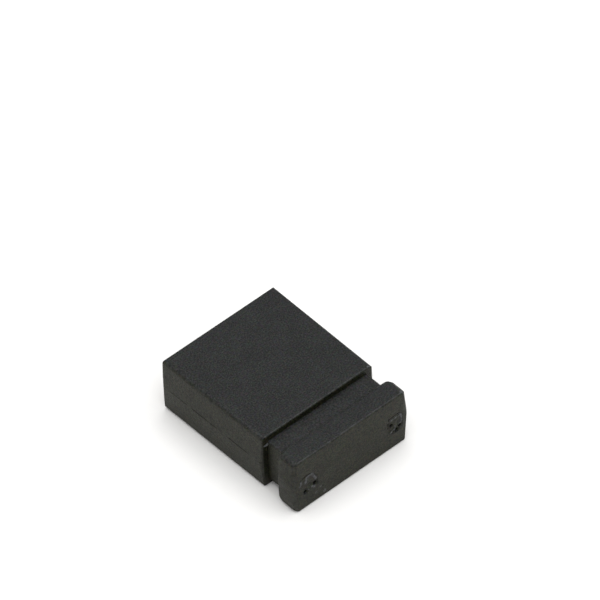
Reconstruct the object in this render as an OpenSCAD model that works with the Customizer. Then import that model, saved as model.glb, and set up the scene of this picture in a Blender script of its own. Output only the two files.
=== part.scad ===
// Two-position jumper shunt: a moulded cap with a folded spring contact inside.
// It lies on a broad face. X runs along the two posts, +Y out of the mouth, +Z up,
// and the origin is under the middle of the cap. Lengths are in millimetres.

/* [Header posts] */
// Spacing of the two posts that the shunt bridges
post_pitch = 2.54; // [2.44:0.02:2.64]
// Width across the flats of a square post
post_w = 0.64; // [0.58:0.02:0.7]

/* [Body] */
// Length from the mouth to the groove
body_len = 4.87; // [4.7:0.05:5.5]
// Width at the parting line, half way up, where the cap is widest
body_w = 5.02; // [4.9:0.02:5.4]
// Thickness from one broad face to the other
body_t = 2.3; // [2.2:0.05:2.6]
// Lean of each side from the parting line in to a broad face
side_draft = 0.06; // [0.02:0.01:0.1]
// Narrowing of each side from the mouth to the groove
body_narrowing = 0.04; // [0.01:0.01:0.08]
// Radius of the long edges
edge_r = 0.15; // [0.08:0.01:0.2]
// Radius of the short edges at the mouth and at the groove
rim_r = 0.07; // [0.02:0.01:0.08]
// Radius of the upright edges at the groove
body_corner_r = 0.13; // [0.08:0.01:0.2]

/* [Grip] */
// Length of the groove floor
groove_len = 0.67; // [0.5:0.05:0.9]
// Depth of the groove in the two broad faces
groove_depth = 0.24; // [0.15:0.01:0.3]
// Depth of the groove in the two sides, from the parting line
groove_side_depth = 0.32; // [0.25:0.01:0.4]
// Length of the slope that rises from the groove floor to the head
ramp_len = 0.18; // [0.1:0.02:0.3]
// Length of the head at its full height
head_len = 0.77; // [0.6:0.05:1.2]
// Width of the head at the parting line
head_w = 5.1; // [4.9:0.02:5.4]
// Lean of each side of the head from the parting line in to a broad face
head_draft = 0.1; // [0.05:0.01:0.14]
// Radius of the head's long edges, which run on from those of the body
head_edge_r = 0.18; // [0.1:0.01:0.25]
// Lean of the end face from the parting line in to a broad face
end_draft = 0.02; // [0.01:0.01:0.05]
// Radius where the slope meets the head
crest_r = 0.15; // [0.05:0.01:0.2]
// Distance by which the slope reaches the head later at its four corners
crest_setback = 0.05; // [0.02:0.01:0.1]
// Radius of the two long edges of the end face
end_edge_r = 0.07; // [0.03:0.01:0.12]
// Radius of the two upright edges of the end face
end_corner_r = 0.18; // [0.1:0.01:0.25]
// Lean of those upright edges from the parting line in to a broad face
corner_draft = 0.08; // [0.06:0.01:0.12]
// Radius where those upright edges run out into the broad faces
corner_end_r = 0.12; // [0.08:0.01:0.2]
// Radius of the long edges of the neck between body and head
neck_r = 0.08; // [0.04:0.01:0.12]

/* [Gate scars] */
// Spacing of the two scars that the moulding gates left on the end face
gate_pitch = 3.76; // [3.6:0.02:3.8]
// Width of the tear that a gate left when it broke off
gate_d = 0.9; // [0.7:0.05:0.95]
// Height of the scars' middles above the lower broad face
gate_z = 1.1; // [1:0.02:1.2]
// Depth of the tear below the end face
gate_depth = 0.05; // [0.03:0.01:0.08]
// Depth of the stub's broken face below the end face
stub_depth = 0.02; // [0.01:0.01:0.02]
// Diameter of the pits that the break tore out beside the stub
pit_d = 0.16; // [0.1:0.01:0.2]
// Depth of the pits below the end face
pit_depth = 0.14; // [0.1:0.01:0.18]

/* [Cavity] */
// Wall between the cavity and a broad face
broad_wall = 0.36; // [0.3:0.02:0.4]
// Wall between the cavity and a side, at the parting line
side_wall = 0.55; // [0.45:0.01:0.6]
// Depth of the cavity from the mouth
cavity_depth = 4.45; // [4.3:0.05:4.5]
// Length of the lead-in slope round the mouth
lead_in_len = 0.25; // [0.15:0.01:0.3]
// Widening of the lead-in slope at the mouth
lead_in_rise = 0.15; // [0.05:0.01:0.18]
// Distance of the ribs' front ends from the mouth
rib_setback = 0.4; // [0.35:0.05:0.8]

/* [Contact clip] */
// Thickness of the sheet
sheet_t = 0.2; // [0.12:0.01:0.22]
// Clearance between the clip and the walls and ribs round it
clip_gap = 0.03; // [0.02:0.01:0.06]
// Outer height of the fold at the back of the clip
fold_h = 1.1; // [0.9:0.02:1.16]
// Centreline radius of the fold's two bends
fold_r = 0.33; // [0.2:0.01:0.36]
// Length of the full-width root, from the back of the fold
root_len = 0.9; // [0.7:0.05:1.1]
// Length from the back of the fold to the bottom of the slot between the tines
slot_bottom = 0.6; // [0.5:0.05:0.65]
// Width of a tine at its root
tine_w = 1.04; // [0.9:0.02:1.1]
// Width of a tine at its tip
tip_w = 0.8; // [0.6:0.02:0.9]
// Distance of the shoulder's middle from the back of the fold
shoulder_at = 1.9; // [1.8:0.05:2.1]
// Length of the flat shoulder that lies along the broad wall
shoulder_len = 0.5; // [0.3:0.05:0.7]
// Distance of the contact land's middle from the back of the fold
land_at = 3.3; // [3.2:0.05:3.4]
// Length of the flat land that presses on a post
land_len = 0.24; // [0.2:0.02:0.4]
// Deflection of one tine when a post goes in
deflection = 0.07; // [0.04:0.01:0.1]
// Distance of the tine tips from the mouth
tip_setback = 0.32; // [0.3:0.02:0.5]
// Rise of the tips from the land, which guides the post in
flare_rise = 0.25; // [0.15:0.01:0.28]
// Centreline radius of the shoulder and land bends
bend_r = 0.4; // [0.2:0.05:0.6]
// Radius of the corners where the root narrows to the tines
root_corner_r = 0.08; // [0.04:0.01:0.1]
// Length over which the root narrows to the tines
root_step = 0.15; // [0.1:0.01:0.2]
// Radius of the corners at the bottom of the slot between the tines
slot_corner_r = 0.2; // [0.1:0.02:0.4]

/* [Hidden] */
plastic_black = [0.2, 0.205, 0.21];
contact_gold = [0.86, 0.68, 0.33];

// Flats in each rounded corner of an outline
corner_flats = 8;
// Reach of the neck's bar into the solid end of the body
neck_rooting = 0.2;
// Depth to which the head's slope runs on inside the neck, as a share of the groove's depth
slope_share = 1.5;
// Overrun of cutters and bars past the faces that they cut
over = 0.5;

housing_len = body_len + groove_len + ramp_len + head_len;
mouth_y = housing_len / 2;
end_y = -housing_len / 2;
groove_y = mouth_y - body_len;
ramp_foot_y = groove_y - groove_len;
crest_y = ramp_foot_y - ramp_len;
mid_z = body_t / 2;
lean_angle = atan(body_narrowing / body_len);
// Depth by which an outline trims the parting edges or the middle of a rounded edge
parting_trim = 0.005;
edge_trim = 0.01;
plan_w = head_w - 2 * parting_trim;
neck_w = body_w - 2 * groove_side_depth;
neck_t = body_t - 2 * groove_depth;

cavity_w = body_w - 2 * side_wall;
cavity_h = body_t - 2 * broad_wall;
floor_y = mouth_y - cavity_depth;

// The slot between the tines straddles the ribs, and the root passes between them
slot_w = post_pitch - tine_w;
rib_w = slot_w - 2 * clip_gap;
rib_gap = fold_h + 2 * clip_gap;

fold_z = (fold_h - sheet_t) / 2;
shoulder_z = cavity_h / 2 - clip_gap - sheet_t / 2;
land_z = post_w / 2 - deflection + sheet_t / 2;
tip_z = land_z + flare_rise;
tip_y = mouth_y - tip_setback;

function unit(v) = v / norm(v);
function xy(p) = [p.x, p.y];
function turned(v, angle) =
    [v.x * cos(angle) - v.y * sin(angle), v.x * sin(angle) + v.y * cos(angle)];

// Arc of radius r that rounds the corner p between its neighbours a and b
function corner_arc(a, p, b, r) =
    let (to_a = unit(a - p), to_b = unit(b - p),
         half = acos(to_a * to_b) / 2,
         centre = p + unit(to_a + to_b) * r / sin(half),
         start = p + to_a * r / tan(half) - centre,
         turn = sign(cross(p - a, b - p)) * (180 - 2 * half))
    [for (i = [0 : corner_flats]) centre + turned(start, turn * i / corner_flats)];

// Closed outline through the corners [x, y, radius]
function rounded(corners) =
    let (n = len(corners))
    [for (i = [0 : n - 1])
        let (a = corners[(i + n - 1) % n], p = corners[i], b = corners[(i + 1) % n])
        each p[2] > 0 ? corner_arc(xy(a), xy(p), xy(b), p[2]) : [xy(p)]];

// Open path through the corners [x, y, radius], sharp at both ends
function bent(corners) =
    [for (i = [0 : len(corners) - 1])
        each corners[i][2] > 0
            ? corner_arc(xy(corners[i - 1]), xy(corners[i]), xy(corners[i + 1]), corners[i][2])
            : [xy(corners[i])]];

// Direction square to the path at its point i
function path_normal(path, i) =
    let (last = len(path) - 1,
         before = i > 0 ? unit(path[i] - path[i - 1]) : [0, 0],
         after = i < last ? unit(path[i + 1] - path[i]) : [0, 0])
    turned(unit(before + after), 90);

// Outline of a sheet of thickness t whose middle follows the path
function sheet_outline(path, t) =
    let (last = len(path) - 1)
    concat([for (i = [0 : last]) path[i] + path_normal(path, i) * t / 2],
           [for (i = [last : -1 : 0]) path[i] - path_normal(path, i) * t / 2]);

// Mirror images of the corners in the line y = middle, in reverse order
function mirrored_y(corners, middle) =
    [for (i = [len(corners) - 1 : -1 : 0])
        [corners[i].x, 2 * middle - corners[i].y, corners[i][2]]];
function mirrored_x(corners) =
    [for (i = [len(corners) - 1 : -1 : 0]) [-corners[i].x, corners[i].y, corners[i][2]]];

// Prisms: an outline in YZ swept along X, in XZ swept along Y, in XY swept along Z
module prism_x(outline, w) {
    rotate([90, 0, 90]) linear_extrude(w, center = true) polygon(outline);
}
module prism_y(outline, y0, y1) {
    translate([0, y1, 0]) rotate([90, 0, 0]) linear_extrude(y1 - y0) polygon(outline);
}
module prism_z(outline) {
    translate([0, 0, -over]) linear_extrude(body_t + 2 * over) polygon(outline);
}

// Bar of the cap's cross-section, widest at the parting line
module section_bar(w, draft, r, y0, y1) {
    right = [[w / 2 - draft, 0, r], [w / 2, mid_z, 0], [w / 2 - draft, body_t, r]];
    prism_y(rounded(concat(right, mirrored_x(right))), y0, y1);
}

// One of the two bars whose overlap makes the body narrow towards the groove
module leaning_bar(side) {
    translate([0, mouth_y, 0]) rotate([0, 0, side * lean_angle])
        section_bar(body_w, side_draft, edge_r, -body_len - over, over);
}

module body_block() {
    lower = [[groove_y, 0, rim_r], [mouth_y, 0, rim_r]];
    half_w = body_w / 2 - parting_trim;
    right = [[half_w - body_narrowing, groove_y, body_corner_r], [half_w, mouth_y, rim_r]];
    intersection() {
        leaning_bar(1);
        leaning_bar(-1);
        prism_x(rounded(concat(lower, mirrored_y(lower, mid_z))), body_w + 2 * over);
        prism_z(rounded(concat(right, mirrored_x(right))));
    }
}

// Bar that joins the body to the head, a little way into both
module neck() {
    right = [[neck_w / 2, groove_depth, neck_r], [neck_w / 2, body_t - groove_depth, neck_r]];
    prism_y(rounded(concat(right, mirrored_x(right))), crest_y, groove_y + neck_rooting);
}

// The head is the overlap of its cross-section with outlines seen from the side, from above
// and at 45 degrees to both. The slopes run on down inside the neck.
module head_block() {
    sunk_z = groove_depth * slope_share;
    sunk_x = plan_w / 2 - (plan_w - neck_w) / 2 * slope_share;
    sunk_y = crest_y + ramp_len * slope_share;
    lower = [[end_y, mid_z, 0], [end_y + end_draft, 0, end_edge_r],
             [crest_y, 0, crest_r], [sunk_y, sunk_z, 0]];
    upper = [[sunk_y, body_t - sunk_z, 0], [crest_y, body_t, crest_r],
             [end_y + end_draft, body_t, end_edge_r]];
    right = [[plan_w / 2, end_y, end_corner_r], [plan_w / 2, crest_y, crest_r],
             [sunk_x, sunk_y, 0]];
    intersection() {
        section_bar(head_w, head_draft, head_edge_r, end_y - over, sunk_y + over);
        prism_x(rounded(concat(lower, upper)), head_w + 2 * over);
        prism_z(rounded(concat(right, mirrored_x(right))));
        crest_corners(-1);
        crest_corners(1);
        end_corner(-1);
        end_corner(1);
    }
}

// Distance from the middle of a rectangle w by h to its corner of radius r, at 45 degrees
function diagonal_reach(w, h, r) = (w + h) / 2 / sqrt(2) - r * (sqrt(2) - 1);

// Outline that sets the slope back at two opposite corners of the head
module crest_corners(side) {
    head_reach = diagonal_reach(head_w - 2 * head_draft, body_t, head_edge_r) - edge_trim;
    neck_reach = diagonal_reach(neck_w, neck_t, neck_r);
    top_y = crest_y - crest_setback;
    sunk_y = top_y + (ramp_foot_y - top_y) * slope_share;
    sunk_reach = head_reach - (head_reach - neck_reach) * slope_share;
    lower = [[end_y - over, -head_reach, 0], [top_y, -head_reach, crest_r],
             [sunk_y, -sunk_reach, 0]];
    translate([0, 0, mid_z]) rotate([0, 45 * side, 0])
        prism_x(rounded(concat(lower, mirrored_y(lower, 0))), head_w + body_t);
}

// Outline that rounds off one upright edge of the end face where it meets the broad faces
module end_corner(side) {
    reach = diagonal_reach(plan_w, -2 * end_y, end_corner_r) - edge_trim;
    lower = [[-reach, mid_z, 0], [corner_draft - reach, 0, corner_end_r], [body_w, 0, 0]];
    rotate([0, 0, 45 * side])
        prism_x(rounded(concat(lower, mirrored_y(lower, mid_z))), body_w + housing_len);
}

// Hollow for the clip, with a lead-in slope round the mouth
module cavity() {
    mouth_plan = [[cavity_w / 2, floor_y, 0], [cavity_w / 2, mouth_y - lead_in_len, 0],
                  [cavity_w / 2 + lead_in_rise, mouth_y, 0],
                  [cavity_w / 2 + lead_in_rise, mouth_y + over, 0]];
    mouth_top = [[floor_y, mid_z + cavity_h / 2, 0],
                 [mouth_y - lead_in_len, mid_z + cavity_h / 2, 0],
                 [mouth_y, mid_z + cavity_h / 2 + lead_in_rise, 0],
                 [mouth_y + over, mid_z + cavity_h / 2 + lead_in_rise, 0]];
    difference() {
        intersection() {
            prism_z(rounded(concat(mouth_plan, mirrored_x(mouth_plan))));
            prism_x(rounded(concat(mouth_top, mirrored_y(mouth_top, mid_z))), body_w);
        }
        ribs();
    }
}

// Ribs on both broad walls that stand between the tines
module ribs() {
    reach = (cavity_h - rib_gap) / 2;
    front_y = mouth_y - rib_setback;
    wall_z = mid_z + cavity_h / 2;
    upper = [[floor_y - over, wall_z + over], [floor_y - over, wall_z - reach],
             [front_y - reach, wall_z - reach], [front_y, wall_z], [front_y, wall_z + over]];
    for (flip = [0, 1])
        translate([0, 0, mid_z]) mirror([0, 0, flip]) translate([0, 0, -mid_z])
            prism_x(upper, rib_w);
}

// Cutter for one scar: a ragged tear round the stub of the gate, and pits torn out beside it.
// The outlines are in shares of the scar's width, seen from outside the end face.
module gate_scar(tear, stub, pits) {
    difference() {
        translate([0, 0, -gate_depth]) linear_extrude(2 * gate_depth) polygon(tear * gate_d);
        translate([0, 0, -gate_depth - over]) linear_extrude(gate_depth + over - stub_depth)
            polygon(stub * gate_d);
    }
    for (at = pits)
        translate([at.x * gate_d, at.y * gate_d, -pit_depth])
            cylinder(d = pit_d, h = 2 * pit_depth, $fn = 24);
}

module left_scar() {
    gate_scar(
        tear = [[-0.47, 0.08], [-0.4, 0.42], [-0.1, 0.5], [0.22, 0.46], [0.42, 0.12], [0.5, -0.3],
                [0.36, -0.42], [0.1, -0.36], [-0.06, -0.5], [-0.28, -0.45], [-0.32, -0.1]],
        stub = [[-0.16, 0.14], [-0.04, 0.38], [0.2, 0.41], [0.36, 0.14], [0.4, -0.08],
                [0.22, 0], [0.04, 0.02]],
        pits = [[0.33, -0.24], [-0.14, -0.38]]);
}

module right_scar() {
    gate_scar(
        tear = [[-0.34, -0.28], [-0.38, 0.16], [-0.26, 0.44], [0.28, 0.48], [0.41, 0.3],
                [0.42, -0.1], [0.4, -0.38], [0.14, -0.5], [-0.12, -0.46]],
        stub = [[-0.25, 0.3], [-0.22, 0.39], [0.26, 0.43], [0.37, 0.26], [0.38, -0.04],
                [0.27, -0.12], [0.16, 0.2], [-0.02, 0.24]],
        pits = [[-0.12, 0], [0.13, -0.4], [0.29, -0.26]]);
}

module housing() {
    color(plastic_black) difference() {
        union() {
            body_block();
            neck();
            head_block();
        }
        cavity();
        translate([-gate_pitch / 2, end_y, gate_z]) rotate([90, 0, 0]) left_scar();
        translate([gate_pitch / 2, end_y, gate_z]) rotate([90, 0, 0]) right_scar();
    }
}

// Bent profile of the sheet: fold at the back, shoulders, contact lands and flared tips
function clip_profile() =
    let (upper = [[floor_y + sheet_t / 2, mid_z + fold_z, fold_r],
                  [floor_y + root_len, mid_z + fold_z, bend_r],
                  [floor_y + shoulder_at - shoulder_len / 2, mid_z + shoulder_z, bend_r],
                  [floor_y + shoulder_at + shoulder_len / 2, mid_z + shoulder_z, bend_r],
                  [floor_y + land_at - land_len / 2, mid_z + land_z, bend_r],
                  [floor_y + land_at + land_len / 2, mid_z + land_z, bend_r],
                  [tip_y, mid_z + tip_z, 0]])
    sheet_outline(bent(concat(mirrored_y(upper, mid_z), upper)), sheet_t);

// Flat plan of the strip: a wide root and, beyond it, two tines with a slot between them
function clip_plan() =
    let (right = [[cavity_w / 2, floor_y - over, 0],
                  [cavity_w / 2, floor_y + root_len, root_corner_r],
                  [(post_pitch + tine_w) / 2, floor_y + root_len + root_step, root_corner_r],
                  [(post_pitch + tip_w) / 2, tip_y + over, 0],
                  [(post_pitch - tip_w) / 2, tip_y + over, 0],
                  [slot_w / 2, floor_y + slot_bottom, slot_corner_r]])
    rounded(concat(right, mirrored_x(right)));

module contact_clip() {
    color(contact_gold) intersection() {
        prism_x(clip_profile(), cavity_w);
        prism_z(clip_plan());
    }
}

housing();
contact_clip();
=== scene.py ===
"""Looks for the jumper shunt: finishes, gate scars, flash, camera, floor and light.

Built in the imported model's own frame, in metres: X runs along the row of posts, +Y out of
the mouth and +Z up. The pieces' shapes are worked out in millimetres and turned into metres
at the end.
"""

import math

import bpy
from mathutils import Matrix, Vector, noise


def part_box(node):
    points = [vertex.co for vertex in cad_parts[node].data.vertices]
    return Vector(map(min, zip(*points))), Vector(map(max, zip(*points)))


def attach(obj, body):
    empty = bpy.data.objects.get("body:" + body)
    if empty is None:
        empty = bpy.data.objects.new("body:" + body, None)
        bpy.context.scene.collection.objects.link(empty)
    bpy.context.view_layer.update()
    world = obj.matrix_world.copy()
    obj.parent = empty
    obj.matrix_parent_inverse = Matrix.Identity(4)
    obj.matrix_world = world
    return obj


MM = 0.001

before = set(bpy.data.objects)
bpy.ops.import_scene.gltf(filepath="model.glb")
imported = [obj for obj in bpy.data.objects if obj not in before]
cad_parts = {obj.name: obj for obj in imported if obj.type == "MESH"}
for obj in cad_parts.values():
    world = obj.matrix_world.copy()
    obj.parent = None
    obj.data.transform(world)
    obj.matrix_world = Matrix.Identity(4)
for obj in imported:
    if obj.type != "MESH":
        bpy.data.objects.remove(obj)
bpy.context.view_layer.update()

# The housing's box in metres, and places worked out from it in millimetres: the end face, the
# end wall of the body, and the middle height, where the two halves of the mould met
HOUSING_LOW, HOUSING_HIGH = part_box("housing")
BODY_LEN = 4.87
END_Y = HOUSING_LOW.y / MM
WALL_Y = HOUSING_HIGH.y / MM - BODY_LEN
MID_Z = (HOUSING_LOW.z + HOUSING_HIGH.z) / 2 / MM


# ---------------------------------------------------------------- node helpers
def new_material(name):
    """An empty node material and its node tree."""
    material = bpy.data.materials.new(name)
    material.use_nodes = True
    material.node_tree.nodes.clear()
    return material, material.node_tree


def put(tree, socket, value):
    """Links a socket to a value that is a socket, and sets it to any other value."""
    if isinstance(value, bpy.types.NodeSocket):
        tree.links.new(value, socket)
    else:
        socket.default_value = value


def maths(tree, operation, a, b=0.0, clamp=False):
    """One operation on a and b, kept between 0 and 1 where clamp is set."""
    node = tree.nodes.new("ShaderNodeMath")
    node.operation = operation
    node.use_clamp = clamp
    put(tree, node.inputs[0], a)
    put(tree, node.inputs[1], b)
    return node.outputs[0]


def times(tree, *factors):
    """The product of all the factors."""
    product = factors[0]
    for factor in factors[1:]:
        product = maths(tree, "MULTIPLY", product, factor)
    return product


def remap(tree, value, low, high, to_low=0.0, to_high=1.0):
    """The value's range from low to high, mapped smoothly to a new range."""
    node = tree.nodes.new("ShaderNodeMapRange")
    node.interpolation_type = "SMOOTHSTEP"
    for index, number in enumerate((value, low, high, to_low, to_high)):
        put(tree, node.inputs[index], number)
    return node.outputs[0]


def between(tree, value, start, full, still, end):
    """1 from full to still, and 0 before start and after end."""
    rise = remap(tree, value, start, full)
    return times(tree, rise, remap(tree, value, still, end, 1.0, 0.0))


def blend(tree, factor, a, b, kind="MIX"):
    """The colour a with b mixed, added or multiplied in, as far as the factor says."""
    node = tree.nodes.new("ShaderNodeMix")
    node.data_type = "RGBA"
    node.blend_type = kind
    put(tree, node.inputs["Factor"], factor)
    put(tree, node.inputs["A"], a)
    put(tree, node.inputs["B"], b)
    return node.outputs["Result"]


def split(tree, vector):
    """The vector's X, Y and Z."""
    node = tree.nodes.new("ShaderNodeSeparateXYZ")
    put(tree, node.inputs[0], vector)
    return node.outputs


def position(tree):
    """Object coordinates, in metres."""
    return tree.nodes.new("ShaderNodeTexCoord").outputs["Object"]


def normal_parts(tree):
    """The X, Y and Z of the direction that the surface faces."""
    return split(tree, tree.nodes.new("ShaderNodeNewGeometry").outputs["Normal"])


def stretched(tree, coords, scale):
    """Coordinates that draw a pattern out along the axes with a small scale."""
    node = tree.nodes.new("ShaderNodeMapping")
    put(tree, node.inputs["Vector"], coords)
    put(tree, node.inputs["Scale"], scale)
    return node.outputs[0]


def mottling(tree, coords, size_mm, detail=2.0, gain=0.5):
    """Noise whose blobs are about size_mm across."""
    node = tree.nodes.new("ShaderNodeTexNoise")
    put(tree, node.inputs["Vector"], coords)
    put(tree, node.inputs["Scale"], 1 / (size_mm * MM))
    put(tree, node.inputs["Detail"], detail)
    put(tree, node.inputs["Roughness"], gain)
    return node.outputs


def bump(tree, height, depth_mm, under=None):
    """A relief that deep in the shading, laid over the one under it."""
    node = tree.nodes.new("ShaderNodeBump")
    put(tree, node.inputs["Distance"], depth_mm * MM)
    put(tree, node.inputs["Height"], height)
    if under is not None:
        put(tree, node.inputs["Normal"], under)
    return node.outputs[0]


def shade(tree, color, roughness, normal, specular, metallic=0.0):
    """The material's shader and output."""
    shader = tree.nodes.new("ShaderNodeBsdfPrincipled")
    put(tree, shader.inputs["Base Color"], color)
    put(tree, shader.inputs["Roughness"], roughness)
    put(tree, shader.inputs["Normal"], normal)
    put(tree, shader.inputs["Specular IOR Level"], specular)
    put(tree, shader.inputs["Metallic"], metallic)
    out = tree.nodes.new("ShaderNodeOutputMaterial")
    put(tree, out.inputs["Surface"], shader.outputs[0])


# ---------------------------------------------------------------- black plastic
# A noise is the size of its blobs in millimetres, its detail and its gain. A span is a range
# of values and, where there are four numbers, the range that it is mapped to. A band is where
# a value's effect starts, is full, still is and ends.
PLASTIC_DARK = (0.0008, 0.0008, 0.0008, 1)
# Light end of the grain where a face doesn't face up: its warm tint is painted bounce light from
# the floor
PLASTIC_LIGHT_WARM_BOUNCE = (0.0305, 0.0325, 0.0140, 1)
# Light end of the grain on up-facing faces, cooler than on the sides
PLASTIC_UPPER_COOL = (0.0325, 0.0330, 0.0330, 1)
# Painted highlight on rounded edges
PLASTIC_EDGE_HIGHLIGHT = (0.045, 0.045, 0.045, 1)
# Pale tone of torn plastic, also used for the painted glints on two corners
PLASTIC_TORN_AND_GLINT = (0.105, 0.105, 0.112, 1)
# Near black: the parting line's tone, and painted shade in the dents and pits of torn plastic
PLASTIC_PIT = (0.0005, 0.0005, 0.0005, 1)
PLASTIC_ROUGH = 0.52
PLASTIC_ROUGH_SWING = 0.08
PLASTIC_SPECULAR = 0.21

TONE_NOISE = (0.05, 3.0, 0.7)
TONE_SPAN = (0.4, 0.72)
CLOUD_NOISE = (0.5, 2.0)
CLOUD_SHARE = 0.12
SPECKLE_NOISE = (0.1, 3.0)
SPECKLE_LIFT = (0.2, 0.2, 0.2, 1)
# How far a surface faces up where the cooler upper tone starts, and where it is full; the rest
# keeps the warm tone of painted floor bounce
UPPER_FACE_SPAN = (0.4, 0.95)
GRAIN_NOISE = (0.07, 3.0, 0.75)
GRAIN_SPAN = (0.3, 0.7)
GRAIN_DEPTH = 0.01

# Parting line, in millimetres: half width of its core and out to its soft edge, and where
# along Y it starts, is full, still is and ends
PARTING_CORE = 0.012
PARTING_EDGE = 0.034
PARTING_STRETCH = (-1.6, -1.59, 2.6, 3.0)
PARTING_SIDE = 0.9
PARTING_GAP_NOISE = (0.9, 3.0)
PARTING_GAP_SPAN = (0.42, 0.56)
PARTING_TONE = 0.5
PARTING_ROUGH = 0.4
PARTING_DEPTH = 0.006

# Painted highlights on rounded edges are told by the direction that they face: how squarely
# along an axis, how far towards the grip end (-Y) or away from it, and how far up or down
HIGHLIGHT_SPAN = (0.9, 0.99, 0.4, 0.0)
HIGHLIGHT_AHEAD_SPAN = (-0.2, -0.05, 1.0, 0.0)
HIGHLIGHT_AHEAD_BAND = (0.88, 0.94, 0.985, 0.998)
CREST_BEHIND_BAND = (0.2, 0.5, 0.95, 1.0)
CREST_UP_BAND = (0.3, 0.4, 0.97, 1.0)
CREST_SHARE = 0.65
HIGHLIGHT_NOISE = (0.12, 3.0)
HIGHLIGHT_NOISE_SPAN = (0.4, 0.62, 0.15, 0.9)

# Pale scuffs on the end face, and painted glints on two corners: x, y, z and radius in millimetres
PALE_MARKS = [(-1.63, END_Y, 0.76, 0.075), (-1.55, END_Y, 0.41, 0.08),
              (-1.19, END_Y, 0.23, 0.1), (-1.36, END_Y, 0.56, 0.06),
              (2.28, -1.59, 2.29, 0.08), (2.3, -3.14, 2.28, 0.08)]
# Share of the radius within which a mark is fully pale
PALE_CORE = 0.3
PALE_NOISE = (0.05, 2.0)
PALE_NOISE_SPAN = (0.35, 0.65, 0.15, 0.75)

# Torn plastic: TORN is above 0 where it is drawn out and below 0 in its dents, which get painted
# shade
TORN = "torn"
TORN_NOISE = (0.08, 3.0)
TORN_NOISE_SPAN = (0.3, 0.7, 0.3, 1.0)
# How far the dents take the painted shade
TORN_DENT = -0.7
TORN_GRAIN_NOISE = (0.04, 4.0, 0.7)
TORN_GRAIN_FLOOR = 0.6
TORN_GRAIN_DEPTH = 0.007


def plastic_tone(tree, coords):
    """Charcoal with a fine grain and soft clouds, cooler on the upper faces and warmer on the
    others, where the warmth is painted bounce light from the floor.
    """
    grain = mottling(tree, coords, *TONE_NOISE)["Fac"]
    clouds = mottling(tree, coords, *CLOUD_NOISE)["Fac"]
    level = maths(tree, "ADD", grain, times(tree, clouds, CLOUD_SHARE))
    # Painted warm floor bounce on faces that don't face up, and the cooler tone on the upper faces
    upper_faces = remap(tree, normal_parts(tree)["Z"], *UPPER_FACE_SPAN)
    light = blend(tree, upper_faces, PLASTIC_LIGHT_WARM_BOUNCE, PLASTIC_UPPER_COOL)
    tone = blend(tree, remap(tree, level, *TONE_SPAN), PLASTIC_DARK, light)
    speckle = mottling(tree, coords, *SPECKLE_NOISE)["Color"]
    lifted = blend(tree, 1.0, speckle, SPECKLE_LIFT, "ADD")
    return blend(tree, 1.0, tone, lifted, "MULTIPLY")


def parting_line(tree, coords):
    """1 on the thin broken line where the two halves of the mould met, on the body's sides."""
    parts = split(tree, coords)
    off = maths(tree, "ABSOLUTE", maths(tree, "SUBTRACT", parts["Z"], MID_Z * MM))
    band = remap(tree, off, PARTING_CORE * MM, PARTING_EDGE * MM, 1.0, 0.0)
    sideways = maths(tree, "ABSOLUTE", normal_parts(tree)["X"])
    side = maths(tree, "GREATER_THAN", sideways, PARTING_SIDE)
    body = between(tree, parts["Y"], *(place * MM for place in PARTING_STRETCH))
    along = tree.nodes.new("ShaderNodeCombineXYZ")
    put(tree, along.inputs["Y"], parts["Y"])
    gaps = mottling(tree, along.outputs[0], *PARTING_GAP_NOISE)["Fac"]
    return times(tree, band, side, body, remap(tree, gaps, *PARTING_GAP_SPAN))


def edge_highlights(tree, coords):
    """Up to 1 on the painted highlights of rounded edges that face the grip end, and less on the
    crest and other edges.
    """
    lean = normal_parts(tree)
    x, y, z = (maths(tree, "ABSOLUTE", part) for part in lean)
    flatness = maths(tree, "MAXIMUM", maths(tree, "MAXIMUM", x, y), z)
    anywhere = remap(tree, flatness, *HIGHLIGHT_SPAN)
    ahead = times(tree, between(tree, z, *HIGHLIGHT_AHEAD_BAND),
                  remap(tree, lean["Y"], *HIGHLIGHT_AHEAD_SPAN))
    crest = times(tree, between(tree, z, *CREST_UP_BAND),
                  between(tree, lean["Y"], *CREST_BEHIND_BAND), CREST_SHARE)
    edges = maths(tree, "MAXIMUM", maths(tree, "MAXIMUM", anywhere, ahead), crest)
    spots = mottling(tree, coords, *HIGHLIGHT_NOISE)["Fac"]
    return times(tree, edges, remap(tree, spots, *HIGHLIGHT_NOISE_SPAN))


def pale_marks(tree, coords):
    """Up to 1 on the small scuffs on the end face and the painted glints on two corners, broken up
    by a fine grain.
    """
    mask = 0.0
    for *place, radius in PALE_MARKS:
        away = tree.nodes.new("ShaderNodeVectorMath")
        away.operation = "DISTANCE"
        put(tree, away.inputs[0], coords)
        put(tree, away.inputs[1], Vector(place) * MM)
        core = radius * MM * PALE_CORE
        spot = remap(tree, away.outputs["Value"], core, radius * MM, 1.0, 0.0)
        mask = maths(tree, "MAXIMUM", mask, spot)
    grain = mottling(tree, coords, *PALE_NOISE)["Fac"]
    return times(tree, mask, remap(tree, grain, *PALE_NOISE_SPAN))


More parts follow.
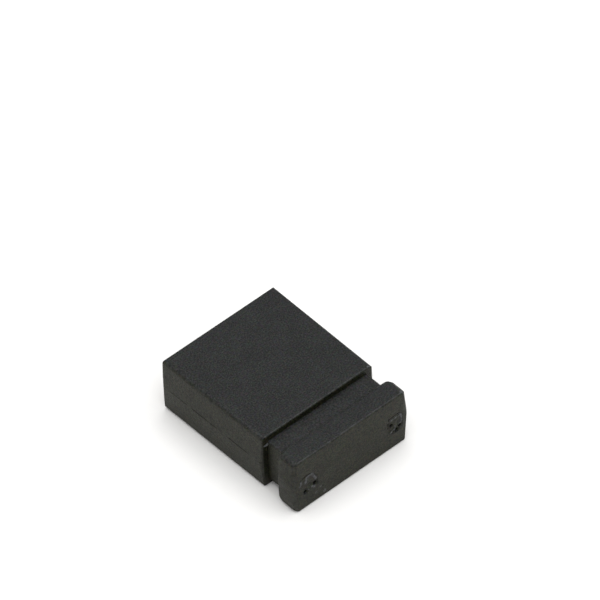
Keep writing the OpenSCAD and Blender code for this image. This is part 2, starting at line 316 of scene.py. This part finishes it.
def black_plastic():
    """The housing's fine matte finish, with its parting line, painted edge highlights, pale scuffs
    and painted glints on two corners.
    """
    material, tree = new_material("black_plastic")
    coords = position(tree)
    line = parting_line(tree, coords)
    tone = plastic_tone(tree, coords)
    # Painted highlights on the rounded edges
    tone = blend(tree, edge_highlights(tree, coords), tone, PLASTIC_EDGE_HIGHLIGHT)
    # Pale scuffs on the end face, and painted glints on two corners
    tone = blend(tree, pale_marks(tree, coords), tone, PLASTIC_TORN_AND_GLINT)
    tone = blend(tree, times(tree, line, PARTING_TONE), tone, PLASTIC_PIT)
    grain = mottling(tree, coords, *GRAIN_NOISE)["Fac"]
    roughness = remap(tree, grain, *GRAIN_SPAN, PLASTIC_ROUGH - PLASTIC_ROUGH_SWING,
                      PLASTIC_ROUGH + PLASTIC_ROUGH_SWING)
    roughness = maths(tree, "ADD", roughness, times(tree, line, PARTING_ROUGH), True)
    normal = bump(tree, grain, GRAIN_DEPTH)
    normal = bump(tree, maths(tree, "SUBTRACT", 1.0, line), PARTING_DEPTH, normal)
    shade(tree, tone, roughness, normal, PLASTIC_SPECULAR)
    return material


def torn_plastic():
    """The moulded finish that turns rough and pale where the plastic was drawn out and torn, with
    painted shade in its dents and pits.
    """
    material, tree = new_material("torn_plastic")
    coords = position(tree)
    attribute = tree.nodes.new("ShaderNodeAttribute")
    attribute.attribute_name = TORN
    torn = attribute.outputs["Fac"]
    tone = plastic_tone(tree, coords)
    patches = remap(tree, mottling(tree, coords, *TORN_NOISE)["Fac"], *TORN_NOISE_SPAN)
    tone = blend(tree, maths(tree, "MULTIPLY", torn, patches, True), tone, PLASTIC_TORN_AND_GLINT)
    # Pale scuffs, and painted glints on two corners
    tone = blend(tree, pale_marks(tree, coords), tone, PLASTIC_TORN_AND_GLINT)
    # Painted shade: near black in the dents and pits
    tone = blend(tree, maths(tree, "MULTIPLY", torn, TORN_DENT, True), tone, PLASTIC_PIT)
    roughness = maths(tree, "ADD", PLASTIC_ROUGH, maths(tree, "ABSOLUTE", torn), True)
    grain = mottling(tree, coords, *TORN_GRAIN_NOISE)["Fac"]
    height = times(tree, grain, maths(tree, "ADD", torn, TORN_GRAIN_FLOOR))
    shade(tree, tone, roughness, bump(tree, height, TORN_GRAIN_DEPTH), PLASTIC_SPECULAR)
    return material


# ---------------------------------------------------------------- gold contact
GOLD_LIGHT = (0.87, 0.65, 0.29, 1)
GOLD_DEEP = (0.76, 0.52, 0.2, 1)
GOLD_TARNISH = (0.42, 0.25, 0.09, 1)
GOLD_CUT = (0.6, 0.36, 0.16, 1)
GOLD_SPECULAR = 0.5
GOLD_DEPTH = 0.0004
# Stretch of the rolling lines, along the strip, and of the shear marks, through its thickness
ROLLED = (1, 0.04, 0.3)
ROLLED_NOISE = (0.02, 2.0)
ROLLED_ROUGH_SPAN = (0.3, 0.7, 0.2, 0.28)
SHEARED = (1, 1, 0.08)
SHEARED_NOISE = (0.025, 2.0)
CUT_SPAN = (0.6, 0.9)
CUT_ROUGH = 0.2
GOLD_CLOUD_NOISE = (0.6, 3.0)
GOLD_CLOUD_SPAN = (0.35, 0.65)
TARNISH_NOISE = (0.12, 4.0)
TARNISH_SPAN = (0.62, 0.7, 0.0, 0.6)


def gold_contact():
    """Gold plate over rolled bronze: rolling lines along the strip, shear marks on its edges."""
    material, tree = new_material("gold_contact")
    coords = position(tree)
    lines = mottling(tree, stretched(tree, coords, ROLLED), *ROLLED_NOISE)["Fac"]
    cloud = mottling(tree, coords, *GOLD_CLOUD_NOISE)["Fac"]
    tone = blend(tree, remap(tree, cloud, *GOLD_CLOUD_SPAN), GOLD_LIGHT, GOLD_DEEP)
    tarnish = remap(tree, mottling(tree, coords, *TARNISH_NOISE)["Fac"], *TARNISH_SPAN)
    tone = blend(tree, tarnish, tone, GOLD_TARNISH)
    sideways = maths(tree, "ABSOLUTE", normal_parts(tree)["X"])
    cut = remap(tree, sideways, *CUT_SPAN)
    shear = mottling(tree, stretched(tree, coords, SHEARED), *SHEARED_NOISE)["Fac"]
    tone = blend(tree, times(tree, cut, shear), tone, GOLD_CUT)
    roughness = maths(tree, "ADD", remap(tree, lines, *ROLLED_ROUGH_SPAN),
                      times(tree, cut, CUT_ROUGH))
    relief = bump(tree, blend(tree, cut, lines, shear), GOLD_DEPTH)
    shade(tree, tone, roughness, relief, GOLD_SPECULAR, 1.0)
    return material


# ---------------------------------------------------------------- dressing the solids
# Edges that turn by more than this stay sharp
SOFT_ANGLE = math.radians(32)
# Points closer together than this, in metres, are shaded as one
WELD = 1e-7
# Edges this close to the middle height stay sharp, because the sides' two slopes meet there
MID_REACH = 0.002


def dress(node, material):
    """Gives a solid its one material."""
    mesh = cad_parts[node].data
    mesh.materials.clear()
    mesh.materials.append(material)


def sharp_edges(group):
    """1 on the edges that stay sharp."""
    angle = group.nodes.new("GeometryNodeInputMeshEdgeAngle").outputs["Unsigned Angle"]
    place = split(group, group.nodes.new("GeometryNodeInputPosition").outputs[0])
    off = maths(group, "ABSOLUTE", maths(group, "SUBTRACT", place["Z"], MID_Z * MM))
    return maths(group, "MAXIMUM", maths(group, "GREATER_THAN", angle, SOFT_ANGLE),
                 maths(group, "LESS_THAN", off, MID_REACH * MM))


def soften(node):
    """Shades the solid's rounded edges smooth and keeps its broad faces flat. No point moves."""
    group = bpy.data.node_groups.new("soften_" + node, "GeometryNodeTree")
    group.interface.new_socket("Geometry", in_out="INPUT", socket_type="NodeSocketGeometry")
    group.interface.new_socket("Geometry", in_out="OUTPUT", socket_type="NodeSocketGeometry")
    weld = group.nodes.new("GeometryNodeMergeByDistance")
    put(group, weld.inputs["Geometry"], group.nodes.new("NodeGroupInput").outputs[0])
    put(group, weld.inputs["Distance"], WELD)
    normals = group.nodes.new("GeometryNodeSetMeshNormal")
    normals.mode = "SHARPNESS"
    put(group, normals.inputs["Mesh"], weld.outputs[0])
    put(group, normals.inputs["Remove Custom"], True)
    put(group, normals.inputs["Edge Sharpness"], sharp_edges(group))
    put(group, group.nodes.new("NodeGroupOutput").inputs[0], normals.outputs[0])
    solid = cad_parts[node]
    solid.modifiers.new("soften", "NODES").node_group = group
    weighted = solid.modifiers.new("weighted", "WEIGHTED_NORMAL")
    weighted.keep_sharp = True


dress("housing", black_plastic())
dress("contact_clip", gold_contact())
soften("housing")
soften("contact_clip")


# ---------------------------------------------------------------- gate scars
# The end face and its two shallow tears, as they are in the solid
END_LEAN = 0.02
GATE_X = 1.88
GATE_Z = 1.1
GATE_D = 0.9
TEAR_FLOOR = 0.048

# How far a scar reaches under the tear's rim and behind the end face
OVERLAP = 0.015
SCAR_BACK = 0.16
RING_STEPS = 160
RADIAL_STEPS = 56
# The innermost ring, as a share of the radius
HUB = 0.002

# The torn surface: depths below the end face, and the share of the radius that blends it in
SKIN = 0.002
TORN_DEPTH = 0.026
EDGE_BLEND = 0.16
# Fine roughness: waves a millimetre, height and shift of the seed
SURFACE_WAVES = [(9, 0.01, 0), (24, 0.006, 5)]
PIT_LIP = 1.35
# Depths at which plastic is fully drawn out, and no longer, and where the painted shade of a dent
# starts and is full
DRAWN_FULL, DRAWN_END = 0.008, 0.022
DENT_START, DENT_FULL = 0.04, 0.07

# Outlines of the solid's tears, in shares of GATE_D about each gate, seen from outside
LEFT_TEAR = [(-0.47, 0.08), (-0.4, 0.42), (-0.1, 0.5), (0.22, 0.46), (0.42, 0.12), (0.5, -0.3),
             (0.36, -0.42), (0.1, -0.36), (-0.06, -0.5), (-0.28, -0.45), (-0.32, -0.1)]
RIGHT_TEAR = [(-0.34, -0.28), (-0.38, 0.16), (-0.26, 0.44), (0.28, 0.48), (0.41, 0.3),
              (0.42, -0.1), (0.4, -0.38), (0.14, -0.5), (-0.12, -0.46)]

# Strokes: points in millimetres about the gate, half width, and rise (a ridge) or drop (a dent)
LEFT_STROKES = [
    ([(-0.3, 0.33), (-0.08, 0.4), (0.12, 0.4)], 0.04, -0.024),
    ([(-0.12, 0.14), (-0.04, 0.3), (0.14, 0.32)], 0.07, 0.03),
    ([(0.14, 0.32), (0.26, 0.14), (0.33, 0.0)], 0.05, 0.026),
    ([(-0.28, 0.33), (-0.31, 0.2), (-0.37, 0.1)], 0.05, 0.024),
    ([(0.06, -0.07), (0.2, -0.14), (0.3, -0.2), (0.42, -0.32)], 0.055, -0.024),
    ([(0.16, -0.3), (0.28, -0.32)], 0.05, 0.03),
    ([(-0.02, -0.3), (0.04, -0.36)], 0.035, 0.02),
]
RIGHT_STROKES = [
    ([(-0.2, 0.36), (0.01, 0.39), (0.24, 0.37)], 0.03, -0.022),
    ([(-0.17, 0.26), (0.04, 0.27), (0.24, 0.27)], 0.035, 0.026),
    ([(0.28, 0.31), (0.33, 0.16), (0.34, -0.02), (0.28, -0.1)], 0.06, 0.026),
    ([(-0.25, 0.16), (-0.24, -0.02), (-0.2, -0.18)], 0.06, -0.024),
    ([(0.02, -0.08), (0.04, -0.2), (0.03, -0.34)], 0.03, 0.026),
    ([(0.04, -0.2), (-0.06, -0.27), (-0.14, -0.32)], 0.03, 0.026),
    ([(0.14, -0.22), (0.13, -0.42)], 0.045, -0.024),
    ([(-0.04, -0.34), (-0.03, -0.4)], 0.03, -0.024),
]
# Blind pits: x and z about the gate, radius and depth
LEFT_PITS = [(0.297, -0.216, 0.075, 0.13), (-0.126, -0.342, 0.07, 0.12)]
RIGHT_PITS = [(-0.108, 0.0, 0.07, 0.12), (0.117, -0.36, 0.072, 0.12), (0.261, -0.234, 0.065, 0.11)]
LEFT_SEED = 1.7
RIGHT_SEED = 8.3

# Guards against rounding where a ray crosses an outline
PARALLEL = 1e-9
SLACK = 1e-6


def held(value, low=0.0, high=1.0):
    """The value, kept between low and high."""
    return min(high, max(low, value))


def rim_radius(outline, angle):
    """Distance from the gate's middle to the outline, in the direction of the angle."""
    ray = Vector((math.cos(angle), math.sin(angle)))
    far = 0.0
    for index, end in enumerate(outline):
        start = Vector(outline[index - 1]) * GATE_D
        edge = Vector(end) * GATE_D - start
        turn = ray.x * edge.y - ray.y * edge.x
        if abs(turn) < PARALLEL:
            continue
        along = (start.x * edge.y - start.y * edge.x) / turn
        share = (start.x * ray.y - start.y * ray.x) / turn
        if along > 0 and -SLACK <= share <= 1 + SLACK:
            far = max(far, along)
    return far


def stretch_distance(point, start, end):
    """Distance from the point to the straight stretch from start to end."""
    run = end - start
    share = held((point - start).dot(run) / run.dot(run))
    return (point - start - run * share).length


def stroke_distance(point, path):
    """Distance from the point to the nearest stretch of the path."""
    corners = [Vector(corner) for corner in path]
    return min(stretch_distance(point, *pair) for pair in zip(corners, corners[1:]))


def inside_share(rim_share):
    """0 on the scar's rim and 1 once EDGE_BLEND of the radius lies outside the point."""
    return held((1 - rim_share) / EDGE_BLEND)


def torn_surface(point, rim_share, strokes, seed):
    """Depth of the torn surface without its pits, in millimetres."""
    depth = TORN_DEPTH
    for waves, height, shift in SURFACE_WAVES:
        depth += noise.noise(Vector((point.x * waves, point.y * waves, seed + shift))) * height
    for path, half_width, rise in strokes:
        reach = stroke_distance(point, path) / half_width
        depth -= rise * math.exp(-reach * reach)
    inside = inside_share(rim_share)
    depth = SKIN + (depth - SKIN) * inside * inside * (3 - 2 * inside)
    return held(depth, SKIN, TEAR_FLOOR)


def scar_depth(point, rim_share, strokes, pits, seed):
    """Depth of the scar's surface below the end face, in millimetres."""
    depth = torn_surface(point, rim_share, strokes, seed)
    for x, z, radius, sink in pits:
        reach = (point - Vector((x, z))).length / radius
        if reach < 1:
            depth = max(depth, TEAR_FLOOR + (sink - TEAR_FLOOR) * (1 - reach ** 3))
        elif reach < PIT_LIP:
            depth += (TEAR_FLOOR - depth) * (PIT_LIP - reach) / (PIT_LIP - 1)
    return depth


def drawn_out(depth, rim_share):
    """1 where torn plastic stands near the surface, 0 at the scar's rim and -1 in its dents, which
    get painted shade.
    """
    inside = inside_share(rim_share)
    if depth > DENT_START:
        return -inside * held((depth - DENT_START) / (DENT_FULL - DENT_START))
    return inside * held((DRAWN_END - depth) / (DRAWN_END - DRAWN_FULL))


def new_piece(name, points, faces, material, marks):
    """A smooth mesh object from points in millimetres, each with its TORN mark."""
    mesh = bpy.data.meshes.new(name)
    mesh.from_pydata([tuple(c * MM for c in point) for point in points], [], faces)
    mesh.validate()
    mesh.update()
    mesh.shade_smooth()
    mesh.materials.append(material)
    torn_marks = mesh.attributes.new(TORN, "FLOAT", "POINT")
    for index, mark in enumerate(marks):
        torn_marks.data[index].value = mark
    piece = bpy.data.objects.new(name, mesh)
    bpy.context.scene.collection.objects.link(piece)
    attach(piece, "root")
    return piece


def scar_surface(middle_x, outline, strokes, pits, seed):
    """Points and TORN marks of a scar, ring by ring from its hub to its rim and then its back."""
    points = []
    marks = []
    for ring in range(RADIAL_STEPS + 1):
        share = ring / RADIAL_STEPS
        for step in range(RING_STEPS):
            angle = 2 * math.pi * step / RING_STEPS
            reach = (rim_radius(outline, angle) + OVERLAP) * max(share, HUB)
            point = Vector((math.cos(angle), math.sin(angle))) * reach
            z = GATE_Z + point.y
            face_y = END_Y + END_LEAN * abs(z - MID_Z) / MID_Z
            depth = scar_depth(point, share, strokes, pits, seed)
            points.append((middle_x + point.x, face_y + depth, z))
            marks.append(drawn_out(depth, share))
    for x, _, z in points[-RING_STEPS:]:
        points.append((x, END_Y + SCAR_BACK, z))
        marks.append(0.0)
    return points, marks


def scar_faces():
    """Faces between the rings, and one over the hub and one over the back."""
    faces = [tuple(range(RING_STEPS))]
    for ring in range(RADIAL_STEPS + 1):
        for step in range(RING_STEPS):
            after = (step + 1) % RING_STEPS
            a, b = ring * RING_STEPS + step, ring * RING_STEPS + after
            faces.append((a, a + RING_STEPS, b + RING_STEPS, b))
    last = (RADIAL_STEPS + 1) * RING_STEPS
    faces.append(tuple(range(last + RING_STEPS - 1, last - 1, -1)))
    return faces


def add_scar(name, middle_x, outline, strokes, pits, seed, material):
    """A closed plug with the torn relief on its outer face, seated in the solid's tear."""
    points, marks = scar_surface(middle_x, outline, strokes, pits, seed)
    new_piece(name, points, scar_faces(), material, marks)


torn = torn_plastic()
add_scar("gate_scar_left", -GATE_X, LEFT_TEAR, LEFT_STROKES, LEFT_PITS, LEFT_SEED, torn)
add_scar("gate_scar_right", GATE_X, RIGHT_TEAR, RIGHT_STROKES, RIGHT_PITS, RIGHT_SEED, torn)


# ---------------------------------------------------------------- flash
# Cross-sections of a sliver of flash in the groove's upper left corner, from left to right:
# x, height of its top, reach out of the body's end wall and thickness, in millimetres
FLASH = [(-2.38, 1.945, 0.02, 0.02), (-2.34, 1.955, 0.06, 0.035), (-2.27, 1.97, 0.075, 0.04),
         (-2.2, 1.995, 0.07, 0.045), (-2.14, 2.03, 0.06, 0.04), (-2.08, 2.04, 0.01, 0.02)]
# The flash's torn mark: its pale tone is partly torn plastic and partly a painted highlight for
# the glint that it catches
FLASH_TORN_AND_GLINT = 0.75
FLASH_ROOT = 0.04
# Upper and lower corner of its lip, as shares of the thickness below its top
FLASH_LIP = (0.2, 0.6)
FLASH_SIDES = 4
FLASH_ROUNDING = 2


def add_flash(material):
    """A closed sliver whose root is sunk in the end wall of the body."""
    points = []
    for x, top, reach, thick in FLASH:
        root = WALL_Y + FLASH_ROOT
        lip = WALL_Y - reach
        points.append((x, root, top))
        points += [(x, lip, top - thick * share) for share in FLASH_LIP]
        points.append((x, root, top - thick))
    faces = [tuple(reversed(range(FLASH_SIDES)))]
    end = FLASH_SIDES * (len(FLASH) - 1)
    for start in range(0, end, FLASH_SIDES):
        for step in range(FLASH_SIDES):
            a, b = start + step, start + (step + 1) % FLASH_SIDES
            faces.append((a, b, b + FLASH_SIDES, a + FLASH_SIDES))
    faces.append(tuple(range(end, end + FLASH_SIDES)))
    marks = [FLASH_TORN_AND_GLINT] * len(points)
    piece = new_piece("groove_flash", points, faces, material, marks)
    rounding = piece.modifiers.new("round", "SUBSURF")
    rounding.levels = FLASH_ROUNDING
    rounding.render_levels = FLASH_ROUNDING


add_flash(torn)


# ---------------------------------------------------------------- camera
PHOTO_PX = 600
FOCAL_PX = 8930
AZIMUTH = math.radians(-40.08)
ELEVATION = math.radians(46.72)
ROLL = math.radians(-2.45)
DISTANCE = 292.65 * MM
AIM = Vector((1.99, 1.393, 3.38)) * MM
SENSOR_WIDTH = 36
NEAR, FAR = 0.01, 10


def add_camera():
    """The camera at the photograph's viewing angle, looking at AIM from DISTANCE."""
    back = Vector((math.sin(AZIMUTH) * math.cos(ELEVATION),
                   -math.cos(AZIMUTH) * math.cos(ELEVATION), math.sin(ELEVATION)))
    level = Vector((math.cos(AZIMUTH), math.sin(AZIMUTH), 0))
    upright = back.cross(level)
    right = math.cos(ROLL) * level + math.sin(ROLL) * upright
    up = back.cross(right)
    data = bpy.data.cameras.new("camera")
    data.sensor_width = SENSOR_WIDTH
    data.lens = SENSOR_WIDTH * FOCAL_PX / PHOTO_PX
    data.clip_start = NEAR
    data.clip_end = FAR
    camera = bpy.data.objects.new("camera", data)
    bpy.context.scene.collection.objects.link(camera)
    turn = Matrix((right, up, back)).transposed().to_4x4()
    camera.matrix_world = Matrix.Translation(AIM + back * DISTANCE) @ turn
    bpy.context.scene.camera = camera


add_camera()


# ---------------------------------------------------------------- floor
FLOOR_HALF = 0.6
FLOOR_CORNERS = [(-1, -1), (1, -1), (1, 1), (-1, 1)]
FLOOR_DARK = (0.88, 0.843, 0.84, 1)
FLOOR_LIGHT = (0.90, 0.863, 0.86, 1)
FLOOR_ROUGH = 0.85
FLOOR_SPECULAR = 0.2
FIBRE_NOISE = (0.4, 3.0)
FIBRE_DEPTH = 0.005


def white_floor():
    """White card with faint fibres."""
    material, tree = new_material("floor_white")
    fibres = mottling(tree, position(tree), *FIBRE_NOISE)["Fac"]
    tone = blend(tree, fibres, FLOOR_DARK, FLOOR_LIGHT)
    shade(tree, tone, FLOOR_ROUGH, bump(tree, fibres, FIBRE_DEPTH), FLOOR_SPECULAR)
    return material


def add_floor():
    """One flat square under the object, in metres."""
    mesh = bpy.data.meshes.new("floor")
    corners = [(x * FLOOR_HALF, y * FLOOR_HALF, 0) for x, y in FLOOR_CORNERS]
    mesh.from_pydata(corners, [], [tuple(range(len(corners)))])
    mesh.materials.append(white_floor())
    floor = bpy.data.objects.new("floor", mesh)
    bpy.context.scene.collection.objects.link(floor)


add_floor()


# ---------------------------------------------------------------- light
KEY_PLACE = (0.04, -0.12, 0.5)
KEY_AIM = (0, 0, 0)
KEY_SIZE = 0.7
KEY_RADIANCE = 1.45
KEY_COLOR = (0.965, 1.0, 1.0)
SKY_COLOR = (0.965, 1.0, 0.985, 1)
# Heights, as the sine of the elevation, between which the sky goes from one to the other
SKY_RISE = (0.32, 0.9)
HORIZON_RADIANCE = 0.1
ZENITH_RADIANCE = 1.3
# Glow of the pale backdrop: how far towards +Y it starts and is full, and where it ends above
BACKDROP_RADIANCE = 0.22
BACKDROP_SIDE = (-0.1, 0.6)
BACKDROP_TOP = (0.5, 0.9)


def add_softbox(name, place, aim, size, radiance, color):
    """A square light of that radiance, in the middle of its face, turned towards aim."""
    data = bpy.data.lights.new(name, "AREA")
    data.size = size
    data.energy = radiance * math.pi * size * size
    data.color = color
    light = bpy.data.objects.new(name, data)
    bpy.context.scene.collection.objects.link(light)
    light.location = place
    light.rotation_euler = (Vector(aim) - Vector(place)).to_track_quat("-Z", "Y").to_euler()


def add_sky():
    """A soft sky, bright overhead and dim low down, with a pale backdrop behind the object."""
    world = bpy.data.worlds.new("studio")
    world.use_nodes = True
    tree = world.node_tree
    parts = split(tree, tree.nodes.new("ShaderNodeTexCoord").outputs["Generated"])
    dome = remap(tree, parts["Z"], *SKY_RISE, HORIZON_RADIANCE, ZENITH_RADIANCE)
    behind = remap(tree, parts["Y"], *BACKDROP_SIDE, 0.0, BACKDROP_RADIANCE)
    low = remap(tree, parts["Z"], *BACKDROP_TOP, 1.0, 0.0)
    background = tree.nodes["Background"]
    put(tree, background.inputs["Color"], SKY_COLOR)
    put(tree, background.inputs["Strength"], maths(tree, "ADD", dome, times(tree, behind, low)))
    bpy.context.scene.world = world


add_softbox("key", KEY_PLACE, KEY_AIM, KEY_SIZE, KEY_RADIANCE, KEY_COLOR)
add_sky()
bpy.context.scene.view_settings.view_transform = "Standard"
